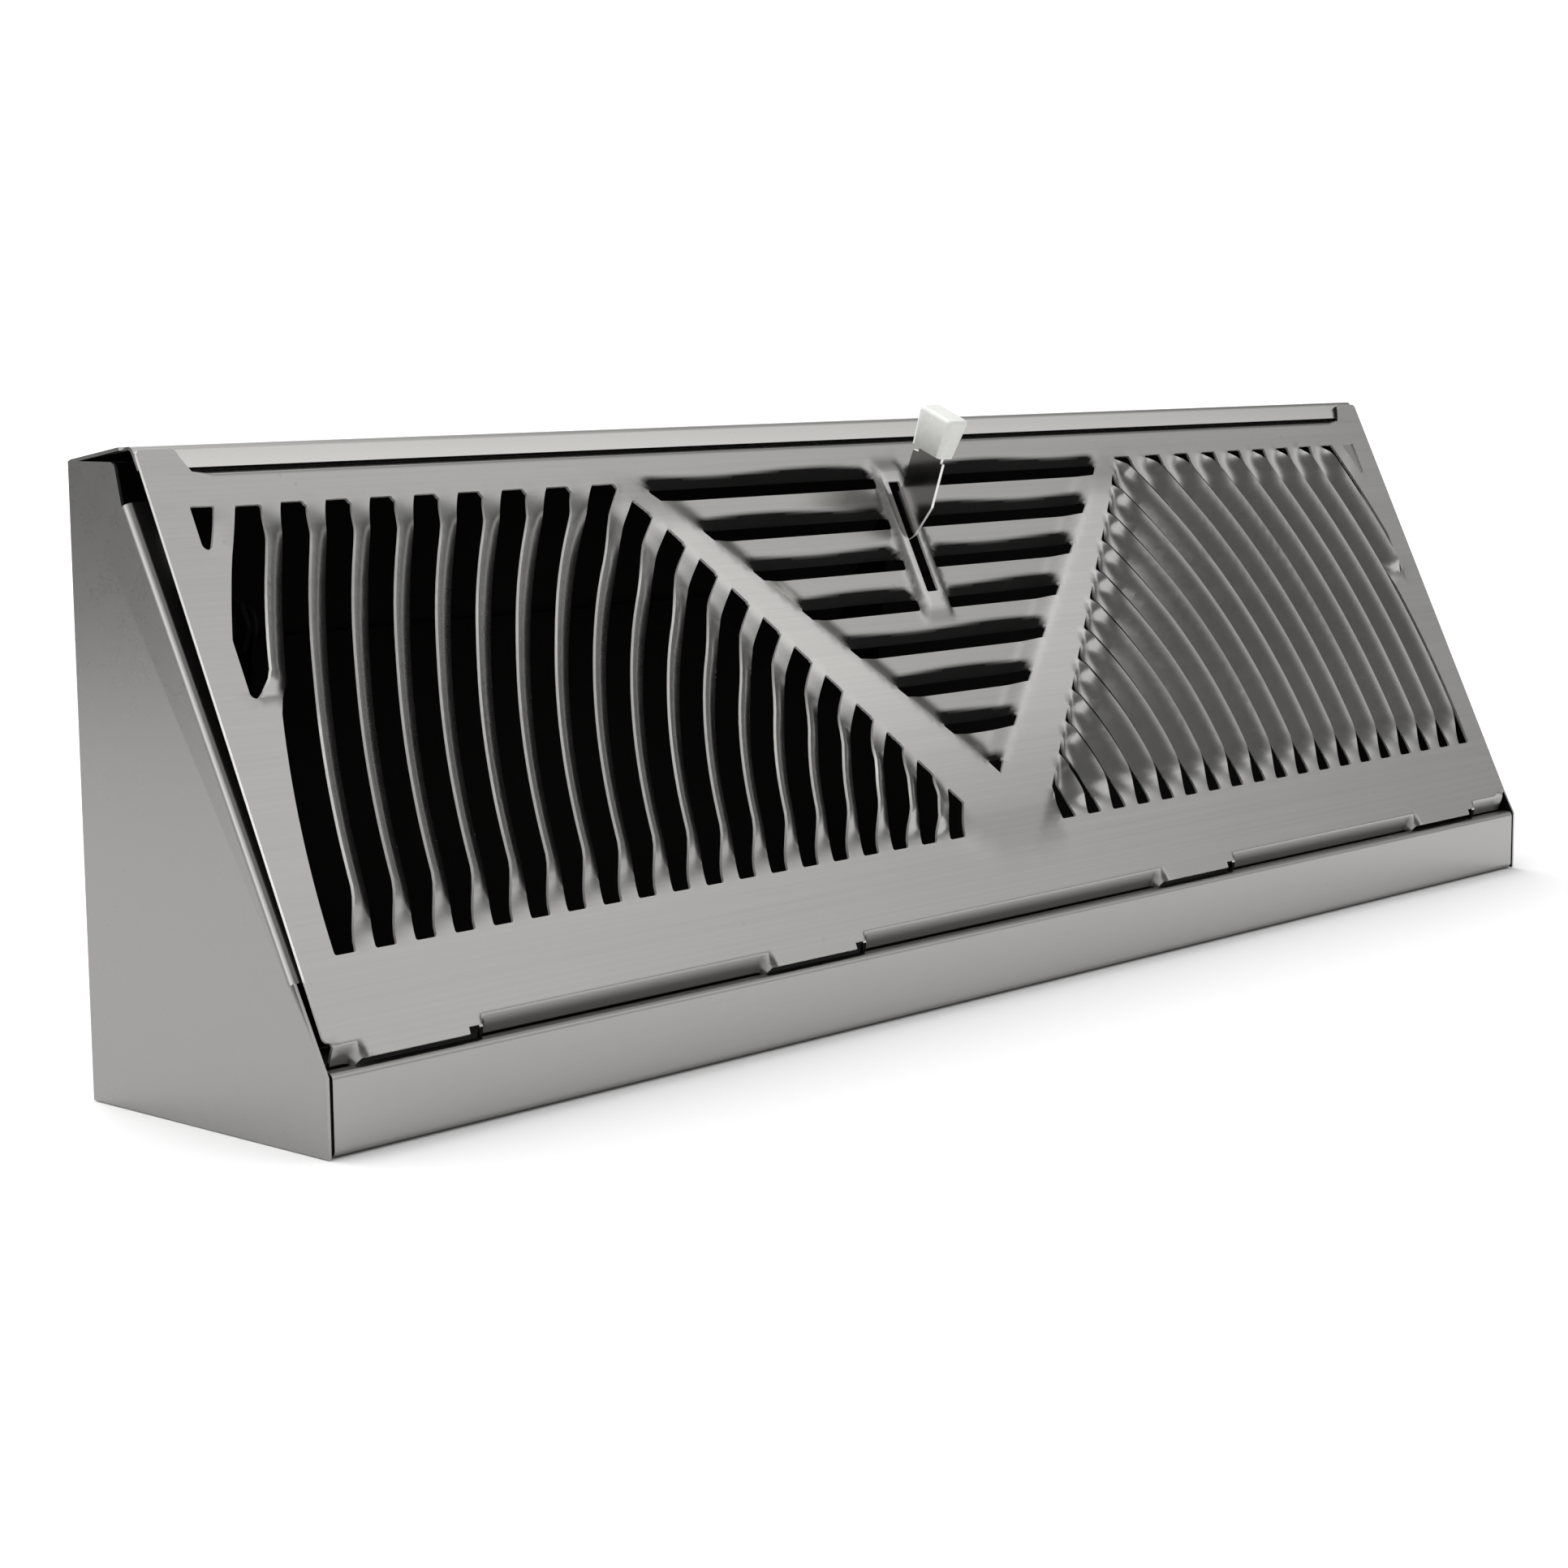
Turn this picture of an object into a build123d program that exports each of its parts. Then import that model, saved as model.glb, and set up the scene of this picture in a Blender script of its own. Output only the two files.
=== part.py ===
import math
import os

from build123d import *

# ---------------------------------------------------------------- dimensions
# all in millimetres; X runs along the register, -Y is the front, +Z is up
length = 381.0            # over the end panels
depth = 65.5              # front lip to wall face
back_height = 113.5       # top edge of the back plate
sheet = 0.6               # housing, grille and damper sheet

# housing section, measured back from the front lip (y) and up from the floor (z)
lip_height = 14.3         # front lip over its rolled edge
lip_half = 189.2          # half length of the front lip and floor pan
roll_depth = 2.6          # how far the front lip's edge is rolled inward
top_bend = (49.35, 115.75)    # centre line of the bend over the top lip
top_lip_end = (47.35, 111.95)  # centre line of the top lip's free edge
top_lip_half = 188.9      # half length of the top lip
knee = 13.65              # height where the end panel's slanted edge begins
slant_top = (48.9, 106.5)     # upper end of the slanted edge
flange_low = 28.5         # lower end of the end panel's in-turned flange
flange_width = 7.0
flange_bend = 1.2         # centre-line radius of the bend between end panel and flange
duct_half = 152.4         # half length of the duct opening
duct_low, duct_high = 14.0, 71.2
screw_x, screw_z, screw_r = 120.0, 107.5, 2.5

# face grille, in its own plane: x along the register, v up the slope
face_tilt = 25.5          # degrees back from upright
face_off = 0.6            # front of the face ahead of the knee line
face_half = 189.1
face_low, face_high = 5.15, 107.5
tab_top, tab_x0, tab_x1 = 112.35, 178.9, 180.6
joggle = 1.45
joggle_half = 178.4
joggle_top = 112.2        # upper edge of the joggled strip, behind the top lip
foot_bend = 52.0          # bend of the bottom flange out of the face plane
foot_width = 9.5
foot_half = 187.5
notch_x = (-168.0, -68.0, 57.0, 160.0)   # centres of the breaks in the bottom flange
notch_half = 13.0
notch_tab = 2.7           # lower edge of the flat tab left standing in each break
notch_open = 3.4          # upper edge of the small window beside the tab
notch_window = 3.6        # length of that window

# louvres
arc_v = 19.7              # centre of the arcs on the mid line
row_low, row_high = 19.9, 101.6
side_x = 181.6            # outer limit of the side sectors
slot_count = 21
slot_r0, slot_pitch, slot_width = 199.3, 8.92, 4.7
rib_v, rib_k = 10.35, 0.8847      # side sector limit: x = rib_k * (v - rib_v)
mid_v, mid_k = 32.0, 1.075        # middle sector limit: x = mid_k * (v - mid_v)
mid_high, mid_pitch, mid_gap, mid_count = 101.4, 9.3, 4.25, 7
side_raise = 2.2          # outer edge of a side blade ahead of the face
mid_press = 1.5           # lower edge of a middle blade behind the face
ramp = 7.0                # length over which a blade twists
blade_t = 0.54
boss_half, boss_low = 4.8, 69.3
lever_slot_half, lever_slot_low, lever_slot_high = 1.85, 73.0, 98.3

# damper, about its pivot line
pivot = (53.0, 83.5)
open_angle = 31.5         # blade swung forward from upright, as stored
panel_back = 11.0         # blade's rear face behind the pivot line when upright
panel_up, panel_down = 2.0, 74.0
panel_half = 165.0
ear_reach = 5.0           # ear beyond the pivot line
pin_r = 2.0
pin_clear = 0.05
bracket_t = 1.0
bracket_x = 166.2         # inner face of the bracket's ear
washer_r = 4.2
lever_t = 0.8
foot_w = 12.0
foot_top, foot_bottom = 8.0, 28.0
rivet_r = 1.5
cap_size = (6.4, 9.4, 8.7)    # width and depth at its top, and height
cap_foot = (4.9, 8.4)         # width and depth at its lower end
cap_centre = (28.35, 113.6)
cap_lean = 24.0

mid_y = depth / 2.0


# ---------------------------------------------------------------- helpers
def at(y, z, x=0.0):
    return Vector(x, y - mid_y, z)


def prism(points, x0, x1):
    """Solid from a (y, z) outline between two x stations."""
    wire = Wire.make_polygon([at(y, z, x0) for y, z in points], close=True)
    return Solid.extrude(Face(wire), Vector(x1 - x0, 0, 0))


def folded(points, radii, t, x0, x1, place):
    """Sheet of thickness t whose centre line runs through points with rounded bends."""
    pts = [Vector(p[0], p[1], 0) for p in points]
    n = len(pts)
    dirs = [(pts[i + 1] - pts[i]).normalized() for i in range(n - 1)]
    nrm = [Vector(-d.Y, d.X, 0) for d in dirs]
    sides = {1: [], -1: []}
    ends = {}
    for s in (1, -1):
        off = t / 2.0 * s
        last = pts[0] + nrm[0] * off
        ends[(s, 0)] = last
        for i in range(1, n - 1):
            d0, d1 = dirs[i - 1], dirs[i]
            turn = d0.X * d1.Y - d0.Y * d1.X
            ang = math.acos(max(-1.0, min(1.0, d0.dot(d1))))
            r = radii[i - 1]
            back = r * math.tan(ang / 2.0)
            sign = 1.0 if turn > 0 else -1.0
            c = pts[i] - d0 * back + nrm[i - 1] * (r * sign)
            rr = r - off * sign
            a = c - nrm[i - 1] * (rr * sign)
            b = c - nrm[i] * (rr * sign)
            m = c - (nrm[i - 1] + nrm[i]).normalized() * (rr * sign)
            sides[s].append(("l", last, a))
            sides[s].append(("a", a, m, b))
            last = b
        end = pts[-1] + nrm[-1] * off
        sides[s].append(("l", last, end))
        ends[(s, 1)] = end
    def up(v, x):
        return place(v.X, v.Y, x)
    edges = []
    for s in (1, -1):
        for e in sides[s]:
            q = [up(v, x0) for v in e[1:]]
            edges.append(Edge.make_line(*q) if e[0] == "l" else Edge.make_three_point_arc(*q))
    for k in (0, 1):
        edges.append(Edge.make_line(up(ends[(1, k)], x0), up(ends[(-1, k)], x0)))
    face = Face(Wire(edges))
    return Solid.extrude(face, up(pts[0], x1) - up(pts[0], x0))


def box(x0, x1, y0, y1, z0, z1):
    return prism([(y0, z0), (y1, z0), (y1, z1), (y0, z1)], x0, x1)


def rod(y, z, r, x0, x1):
    c = Solid.make_cylinder(r, x1 - x0, Plane(origin=at(y, z, x0), x_dir=(0, 1, 0), z_dir=(1, 0, 0)))
    return c


def rod_y(x, z, r, y0, y1):
    return Solid.make_cylinder(r, y1 - y0, Plane(origin=at(y0, z, x), x_dir=(1, 0, 0), z_dir=(0, 1, 0)))


def join(first, *rest):
    body = first
    out = body.fuse(*rest)
    return out.clean()


# ---------------------------------------------------------------- housing
half = length / 2.0
t = sheet
c = t / 2.0

section = [(roll_depth, lip_height - c), (c, lip_height - c), (c, c), (depth - c, c),
           (depth - c, back_height - c), top_bend, top_lip_end]
shell = folded(section, [0.9, 1.0, 1.0, 0.8, 1.3], t, -top_lip_half, top_lip_half,
               lambda a, b, x: at(a, b, x))
# the pan and front lip reach a little further than the top lip
pan = folded(section[:5], [0.9, 1.0, 1.0], t, -lip_half, lip_half, lambda a, b, x: at(a, b, x))
back = box(-half, half, depth - t, depth, 0.0, back_height - 0.4)
crown = folded([(depth - c, back_height - 4.0), (depth - c, back_height - c), (top_bend[0] + 1.2, top_bend[1] - 0.17)],
               [0.8], t, -half, half, lambda a, b, x: at(a, b, x))

slant_k = slant_top[0] / (slant_top[1] - knee)
sl = math.atan(slant_k)
up_slant = (math.sin(sl), math.cos(sl))        # up the slanted edge
inward = (math.cos(sl), -math.sin(sl))         # square to it, into the housing
f_hi = slant_top
f_lo = ((flange_low - knee) * slant_k, flange_low)
flange_run = math.hypot(f_hi[0] - f_lo[0], f_hi[1] - f_lo[1])


def slant_at(s, b):
    return (f_lo[0] + up_slant[0] * s + inward[0] * b, f_lo[1] + up_slant[1] * s + inward[1] * b)


def on_slant(x, b, s):
    return at(*slant_at(s, b), x)


# the end panel is cut back where the bent edge strip takes over
end_outline = [(depth, 0.0), (0.0, 0.0), (0.0, knee), f_lo, slant_at(0.0, 4.0), slant_at(flange_run - 1.0, 4.0),
               slant_at(flange_run - 1.0, 1.6), slant_at(flange_run, 1.6),
               (51.9, 112.3), (52.3, 113.0), (53.0, 113.3), (depth, 113.3)]
left_end = prism(end_outline, -half, -half + t)
right_end = prism(end_outline, half - t, half)
left_flange = folded([(-half + c, 6.0), (-half + c, c), (-half + flange_width, c)], [flange_bend], t, 0.0, flange_run, on_slant)
right_flange = folded([(half - c, 6.0), (half - c, c), (half - flange_width, c)], [flange_bend], t, 0.0, flange_run, on_slant)

housing = join(shell, pan, back, crown, left_end, right_end, left_flange, right_flange)
duct = box(-duct_half, duct_half, depth - 3.0, depth + 3.0, duct_low, duct_high)
screws = [rod_y(sx, screw_z, screw_r, depth - 3.0, depth + 3.0) for sx in (-screw_x, screw_x)]
bracket_holes = [rod_y(sx * 176.0, z, rivet_r, depth - 3.0, depth + 3.0) for sx in (-1, 1) for z in (79.0, 92.0)]
housing = housing.cut(duct, *screws, *bracket_holes)

# ---------------------------------------------------------------- face grille
tau = math.radians(face_tilt)
face_plane = Plane(origin=at(-face_off * math.cos(tau), knee + face_off * math.sin(tau)),
                   x_dir=(1, 0, 0), z_dir=(0, -math.cos(tau), math.sin(tau)))


def flat(points, n0, n1):
    """Solid from an (x, v) outline between two offsets n from the face's front."""
    wire = Wire.make_polygon([Vector(x, v, n0) for x, v in points], close=True)
    return Solid.extrude(Face(wire), Vector(0, 0, n1 - n0))


def folded_face(points, radii, x0, x1):
    return folded(points, radii, sheet, x0, x1, lambda v, n, x: Vector(x, v, n))


plate = flat([(-face_half, face_low), (face_half, face_low), (face_half, tab_top), (tab_x1, tab_top),
              (tab_x0, face_high + 0.8), (joggle_half, face_high), (-joggle_half, face_high),
              (-tab_x0, face_high + 0.8), (-tab_x1, tab_top), (-face_half, tab_top)], -sheet, 0.0)

bottom = [(face_low + 2.0, -c), (face_low, -c),
          (face_low - foot_width * math.cos(math.radians(foot_bend)), -c - foot_width * math.sin(math.radians(foot_bend)))]
foot = folded_face(bottom, [0.8], -foot_half, foot_half)
notches, tabs = [], []
for nx in notch_x:
    x0, x1 = nx - notch_half, nx + notch_half
    wire = Wire.make_polygon([Vector(x0, v, n) for v, n in ((-8.0, -14.0), (face_low + 1.0, -14.0), (face_low + 1.0, 2.0), (-8.0, 2.0))], close=True)
    notches.append(Solid.extrude(Face(wire), Vector(x1 - x0, 0, 0)))
    tabs.append(flat([(x0, face_low + 1.0), (x0 + 0.4, notch_tab), (x1 - notch_window, notch_tab), (x1 - notch_window + 0.3, notch_open),
                      (x1, notch_open), (x1, face_low + 1.0)], -sheet, 0.0))
foot = foot.cut(*notches)

head = folded_face([(face_high - 2.0, -c), (face_high + 0.1, -c), (face_high + 1.2, -c - joggle), (joggle_top, -c - joggle)],
                   [0.5, 0.5], -joggle_half, joggle_half)

# openings of the three sectors
def rib_x(v):
    return rib_k * (v - rib_v)


def mid_x(v):
    return mid_k * (v - mid_v)


r_core = slot_r0 - slot_pitch * (slot_count - 1) - slot_width
rib_lo = None
for i in range(4000):
    v = row_low + i * 0.005
    if math.hypot(rib_x(v), v - arc_v) >= r_core:
        rib_lo = v
        break
th0 = math.asin((row_low - arc_v) / r_core)
th1 = math.asin((rib_lo - arc_v) / r_core)
core = [(r_core * math.cos(th0 + (th1 - th0) * i / 6.0), arc_v + r_core * math.sin(th0 + (th1 - th0) * i / 6.0)) for i in range(7)]
side_outline = [(side_x, row_low), (side_x, row_high), (rib_x(row_high), row_high)] + core[::-1]
cuts = [flat(side_outline, -3.0, 3.0), flat([(-x, v) for x, v in side_outline], -3.0, 3.0)]
mid_l = [(-mid_x(mid_high), mid_high), (-boss_half, mid_high), (-boss_half, boss_low), (-boss_half, mid_v + boss_half / mid_k)]
cuts.append(flat(mid_l, -3.0, 3.0))
cuts.append(flat([(-x, v) for x, v in mid_l], -3.0, 3.0))
cuts.append(flat([(-boss_half - 0.01, boss_low), (boss_half + 0.01, boss_low), (boss_half + 0.01, mid_v + (boss_half + 0.01) / mid_k),
                  (0.0, mid_v), (-boss_half - 0.01, mid_v + (boss_half + 0.01) / mid_k)], -3.0, 3.0))
cuts.append(flat([(-lever_slot_half, lever_slot_low), (lever_slot_half, lever_slot_low),
                  (lever_slot_half, lever_slot_high), (-lever_slot_half, lever_slot_high)], -3.0, 3.0))
frame = plate.fuse(foot, head, *tabs).clean().cut(*cuts)


def ease(s):
    s = max(0.0, min(1.0, s))
    return s * s * (3.0 - 2.0 * s)


def strip_loft(sections):
    """Blade through pairs of centre-line points, each with its own sheet normal."""
    faces = []
    for p, q, nv in sections:
        o = nv * (blade_t / 2.0)
        faces.append(Wire.make_polygon([p - o, q - o, q + o, p + o], close=True))
    return Solid.make_loft(faces, ruled=True)


def crossing(r):
    """Angles where a circle of radius r leaves the side sector: lower and upper end."""
    lo = math.asin((row_low - arc_v) / r)
    if r * math.cos(lo) > side_x:
        lo = math.acos(side_x / r)
    hi = None
    if r >= math.hypot(rib_x(row_high), row_high - arc_v):
        hi = math.asin((row_high - arc_v) / r)
    else:
        a, b = 0.0, math.pi / 2.0
        for _ in range(60):
            m = (a + b) / 2.0
            if r * math.cos(m) > rib_x(arc_v + r * math.sin(m)):
                a = m
            else:
                b = m
        hi = a
    return lo, hi


blades = []
for k in range(slot_count - 1):
    r_out = slot_r0 - slot_pitch * k - slot_width
    r_in = slot_r0 - slot_pitch * (k + 1)
    (lo_i, hi_i), (lo_o, hi_o) = crossing(r_in), crossing(r_out)
    r_m = (r_in + r_out) / 2.0
    arc = r_m * ((hi_i + hi_o) - (lo_i + lo_o)) / 2.0
    rl = min(ramp, arc * 0.35)
    e = 0.8
    stations = [-e, 0.0, rl * 0.5, rl]
    body = max(2, int(math.ceil((arc - 2 * rl) / 22.0)))
    stations += [rl + (arc - 2 * rl) * i / body for i in range(1, body)]
    stations += [arc - rl, arc - rl * 0.5, arc, arc + e]
    full = min(1.0, arc / 24.0)
    for sx in (-1, 1):
        secs = []
        for s in stations:
            f = s / arc
            a_i = lo_i + (hi_i - lo_i) * f
            a_o = lo_o + (hi_o - lo_o) * f
            w = full * ease(min(s, arc - s) / rl)
            h = side_raise * w
            ro = r_in + math.sqrt((r_out - r_in) ** 2 - h * h)
            p = Vector(sx * r_in * math.cos(a_i), arc_v + r_in * math.sin(a_i), -c)
            q = Vector(sx * ro * math.cos(a_o), arc_v + ro * math.sin(a_o), -c + h)
            a_m = (a_i + a_o) / 2.0
            rad = Vector(sx * math.cos(a_m), math.sin(a_m), 0)
            tilt = math.atan2(h, ro - r_in)
            secs.append((p, q, Vector(0, 0, 1) * math.cos(tilt) - rad * math.sin(tilt)))
        blades.append(strip_loft(secs))

for k in range(mid_count):
    v_top = mid_high - mid_pitch * k - mid_gap
    v_low = mid_high - mid_pitch * (k + 1)
    w0 = v_top - v_low
    if v_low > boss_low:
        spans = [(-1, 1), (1, 1)]
    else:
        spans = [(0, 0)]
    for sx, halfway in spans:
        e = 0.8
        secs = []
        if halfway:
            end_t, end_l = mid_x(v_top), mid_x(v_low)
            run = (end_t + end_l) / 2.0 - boss_half
            rl = min(ramp, run * 0.35)
            st = [-e, 0.0, 2.0, 4.0, run - rl, run - rl * 0.5, run, run + e]
            for s in st:
                f = s / run
                xt = sx * (boss_half + (end_t - boss_half) * f)
                xl = sx * (boss_half + (end_l - boss_half) * f)
                w = ease(min(s / 4.0, (run - s) / rl))
                d = mid_press * w
                vl = v_top - math.sqrt(w0 * w0 - d * d)
                tilt = math.atan2(d, v_top - vl)
                secs.append((Vector(xt, v_top, -c), Vector(xl, vl, -c - d), Vector(0, -math.sin(tilt), math.cos(tilt))))
        else:
            end_t, end_l = mid_x(v_top), mid_x(v_low)
            run = end_t + end_l
            rl = min(ramp, run * 0.35)
            full = min(1.0, run / 20.0)
            st = [-e, 0.0, rl * 0.5, rl, run / 2.0, run - rl, run - rl * 0.5, run, run + e]
            for s in st:
                f = 2.0 * s / run - 1.0
                w = full * ease(min(s, run - s) / rl)
                d = mid_press * w
                vl = v_top - math.sqrt(w0 * w0 - d * d)
                tilt = math.atan2(d, v_top - vl)
                secs.append((Vector(end_t * f, v_top, -c), Vector(end_l * f, vl, -c - d), Vector(0, -math.sin(tilt), math.cos(tilt))))
        blades.append(strip_loft(secs))

grille = frame.fuse(*blades)
grille = grille.moved(face_plane.location)

# ---------------------------------------------------------------- damper
py, pz = pivot
swing = Location(at(py, pz)) * Location((0, 0, 0), (-open_angle, 0, 0))


def local(points, x0, x1):
    """Solid from a (y, z) outline about the pivot line, blade upright."""
    wire = Wire.make_polygon([Vector(x0, y, z) for y, z in points], close=True)
    return Solid.extrude(Face(wire), Vector(x1 - x0, 0, 0))


def local_rod_y(x, z, r, y0, y1):
    return Solid.make_cylinder(r, y1 - y0, Plane(origin=(x, y0, z), x_dir=(1, 0, 0), z_dir=(0, 1, 0)))


panel = local([(panel_back - t, -panel_down), (panel_back, -panel_down), (panel_back, panel_up), (panel_back - t, panel_up)],
              -panel_half, panel_half)
hem = local([(panel_back - t - 5.0, -panel_down), (panel_back - t, -panel_down), (panel_back - t, -panel_down + t),
             (panel_back - t - 5.0, -panel_down + t)], -panel_half + 2.0, panel_half - 2.0)
ear_outline = [(panel_back, -24.0), (panel_back, panel_up), (0.0, ear_reach), (-ear_reach * 0.7, ear_reach * 0.7), (-ear_reach, 0.0),
               (-ear_reach * 0.7, -ear_reach * 0.7), (2.0, -10.0)]
ear_l = local(ear_outline, -panel_half, -panel_half + t)
ear_r = local(ear_outline, panel_half - t, panel_half)
damper = panel.fuse(hem, ear_l, ear_r).clean()
pin_bores = [Solid.make_cylinder(pin_r + pin_clear, 10.0, Plane(origin=(sx * panel_half - 5.0, 0, 0), x_dir=(0, 1, 0), z_dir=(1, 0, 0)))
             for sx in (-1, 1)]
rivet_at = [(6.6, -12.6), (6.6, -23.4)]
lever_rivet_bores = [local_rod_y(x, z, rivet_r, 0.0, 20.0) for x, z in rivet_at]
damper = damper.cut(*pin_bores, *lever_rivet_bores).moved(swing)

# lever: arm outline as it stands through the slot, foot on the blade's front
arm_outline = [(46.6, 53.2), (57.5, 71.0), (48.35, 90.0), (41.0, 100.3), (39.07, 100.93), (37.93, 102.44), (36.34, 106.6),
               (35.0, 109.9), (33.6, 109.5), (31.2, 114.9), (25.4, 112.3), (27.7, 107.0), (27.09, 106.77), (30.22, 97.66),
               (34.85, 91.87), (36.3, 91.0), (42.6, 88.0)]
arm = prism(arm_outline, -lever_t / 2.0, lever_t / 2.0)
y_front = panel_back - t
lever_foot = local([(y_front - lever_t, -foot_bottom), (y_front, -foot_bottom), (y_front, -foot_top), (y_front - lever_t, -foot_top)],
                   -lever_t / 2.0, foot_w).moved(swing)
trim = local([(y_front, -60.0), (y_front + 30.0, -60.0), (y_front + 30.0, 20.0), (y_front, 20.0)], -2.0, 2.0).moved(swing)
lever = arm.cut(trim).fuse(lever_foot).clean()
lever = lever.cut(*[b.moved(swing) for b in lever_rivet_bores])

rivets = []
for x, z in rivet_at:
    shank = local_rod_y(x, z, rivet_r, y_front - lever_t - 0.2, panel_back + 0.2)
    head_f = local_rod_y(x, z, rivet_r * 1.8, y_front - lever_t - 1.0, y_front - lever_t)
    head_b = local_rod_y(x, z, rivet_r * 1.6, panel_back, panel_back + 0.6)
    rivets.append(shank.fuse(head_f, head_b).clean().moved(swing))

# cap on the lever's end
cw, cd, ch = cap_size
lean = Location(at(*cap_centre)) * Location((0, 0, 0), (cap_lean, 0, 0))
fw, fd = cap_foot
cap_box = Solid.make_loft([Wire.make_polygon([Vector(sx * w / 2.0, sy * d / 2.0, z) for sx, sy in ((-1, -1), (1, -1), (1, 1), (-1, 1))], close=True)
                           for w, d, z in ((fw, fd, -ch / 2.0), (cw, cd, ch / 2.0))], True)
cap_box = cap_box.fillet(1.1, [e for e in cap_box.edges() if abs(e.center().Z) < 0.5])
cap_box = cap_box.fillet(0.8, [e for e in cap_box.edges() if e.center().Z > ch / 2.0 - 0.01])
cap = cap_box.moved(lean).cut(arm)

# pivots
brackets, pins, washers, bracket_rivets = {}, {}, {}, []
for name, sx in (("left", -1), ("right", 1)):
    a0, a1 = sorted((sx * bracket_x, sx * (bracket_x + bracket_t)))
    ear = prism([(depth - t, 73.5), (depth - t, 97.5), (py, pz + 6.0), (py - 4.2, pz + 4.2), (py - 6.0, pz), (py - 4.2, pz - 4.2), (py, pz - 6.0)], a0, a1)
    b0, b1 = sorted((sx * bracket_x, sx * (bracket_x + 16.0)))
    base = box(b0, b1, depth - t - bracket_t, depth - t, 73.5, 97.5)
    body = ear.fuse(base).clean()
    bore = rod(py, pz, pin_r, a0 - 1.0, a1 + 1.0)
    seat = [rod_y(sx * 176.0, z, rivet_r, depth - 6.0, depth + 1.0) for z in (79.0, 92.0)]
    brackets[name] = body.cut(bore, *seat)
    # pin: head inside the ear, shank through blade ear, washer and bracket, peened outside
    i0, i1 = sorted((sx * (panel_half - t - 0.1), sx * (bracket_x + bracket_t)))
    h0, h1 = sorted((sx * (panel_half - t - 0.1), sx * (panel_half - t - 1.3)))
    o0, o1 = sorted((sx * (bracket_x + bracket_t), sx * (bracket_x + bracket_t + 0.9)))
    pins[name] = rod(py, pz, pin_r, i0, i1).fuse(rod(py, pz, pin_r * 1.9, h0, h1), rod(py, pz, pin_r * 1.5, o0, o1)).clean()
    w0, w1 = sorted((sx * (panel_half + 0.06), sx * bracket_x))
    washers[name] = rod(py, pz, washer_r, w0, w1).cut(rod(py, pz, pin_r, w0 - 1.0, w1 + 1.0))
    for z in (79.0, 92.0):
        shank = rod_y(sx * 176.0, z, rivet_r, depth - t - bracket_t - 0.2, depth)
        dome = rod_y(sx * 176.0, z, rivet_r * 1.9, depth - t - bracket_t - 1.1, depth - t - bracket_t)
        bracket_rivets.append(shank.fuse(dome).clean())

# ---------------------------------------------------------------- write the nodes
nodes = {
    "back_housing": housing,
    "face_grille": grille,
    "damper_blade": damper,
    "damper_lever": lever,
    "lever_cap": cap,
    "lever_rivets": Compound(children=rivets),
    "left_pivot_bracket": brackets["left"],
    "right_pivot_bracket": brackets["right"],
    "left_pivot_pin": pins["left"],
    "right_pivot_pin": pins["right"],
    "left_friction_washer": washers["left"],
    "right_friction_washer": washers["right"],
    "bracket_rivets": Compound(children=bracket_rivets),
}

os.makedirs("parts", exist_ok=True)
for name, shape in nodes.items():
    export_step(shape, "parts/" + name + ".step")
    bb = shape.bounding_box()
    print(name, shape.is_valid, len(shape.solids()), round(shape.volume, 1),
          [round(v, 2) for v in (bb.min.X, bb.min.Y, bb.min.Z, bb.max.X, bb.max.Y, bb.max.Z)])
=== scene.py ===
import math

import bmesh
import bpy
import numpy as np
from mathutils import Matrix, Vector
from mathutils.geometry import delaunay_2d_cdt
from mathutils.kdtree import KDTree


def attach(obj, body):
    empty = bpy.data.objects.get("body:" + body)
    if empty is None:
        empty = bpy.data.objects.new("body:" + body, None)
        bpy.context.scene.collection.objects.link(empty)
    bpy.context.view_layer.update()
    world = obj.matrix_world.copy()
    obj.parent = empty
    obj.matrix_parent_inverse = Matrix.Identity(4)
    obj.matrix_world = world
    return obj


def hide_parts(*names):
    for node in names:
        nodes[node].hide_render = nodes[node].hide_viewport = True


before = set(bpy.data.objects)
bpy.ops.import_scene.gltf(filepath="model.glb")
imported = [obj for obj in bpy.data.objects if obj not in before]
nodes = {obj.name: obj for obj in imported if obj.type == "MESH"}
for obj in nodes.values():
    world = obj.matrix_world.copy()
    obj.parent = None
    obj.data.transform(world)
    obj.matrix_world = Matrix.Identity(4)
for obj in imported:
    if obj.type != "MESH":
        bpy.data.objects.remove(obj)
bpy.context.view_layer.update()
scene = bpy.context.scene
MM = 0.001

# ------------------------------------------------------------------ camera
CAM_F = 3908.1                       # focal length in pixels of a 1932-pixel frame
CAM_POS = (-0.5121, -0.4327, 0.1317)
CAM_AZ, CAM_EL, CAM_ROLL = -47.25, 7.86, -0.61
cam_data = bpy.data.cameras.new("camera")
cam_data.sensor_fit = "HORIZONTAL"
cam_data.sensor_width = 36.0
cam_data.lens = CAM_F / 1932.0 * 36.0
cam_data.clip_start = 0.01
cam_data.clip_end = 50.0
cam = bpy.data.objects.new("camera", cam_data)
scene.collection.objects.link(cam)
_a, _e = math.radians(CAM_AZ), math.radians(CAM_EL)
_back = Vector((math.sin(_a) * math.cos(_e), -math.cos(_a) * math.cos(_e), math.sin(_e)))
_right = Vector((0, 0, 1)).cross(_back).normalized()
_up = _back.cross(_right)
_rot = Matrix((_right, _up, _back)).transposed()
_rot = _rot @ Matrix.Rotation(math.radians(CAM_ROLL), 3, "Z")
cam.matrix_world = Matrix.Translation(CAM_POS) @ _rot.to_4x4()
scene.camera = cam

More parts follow.
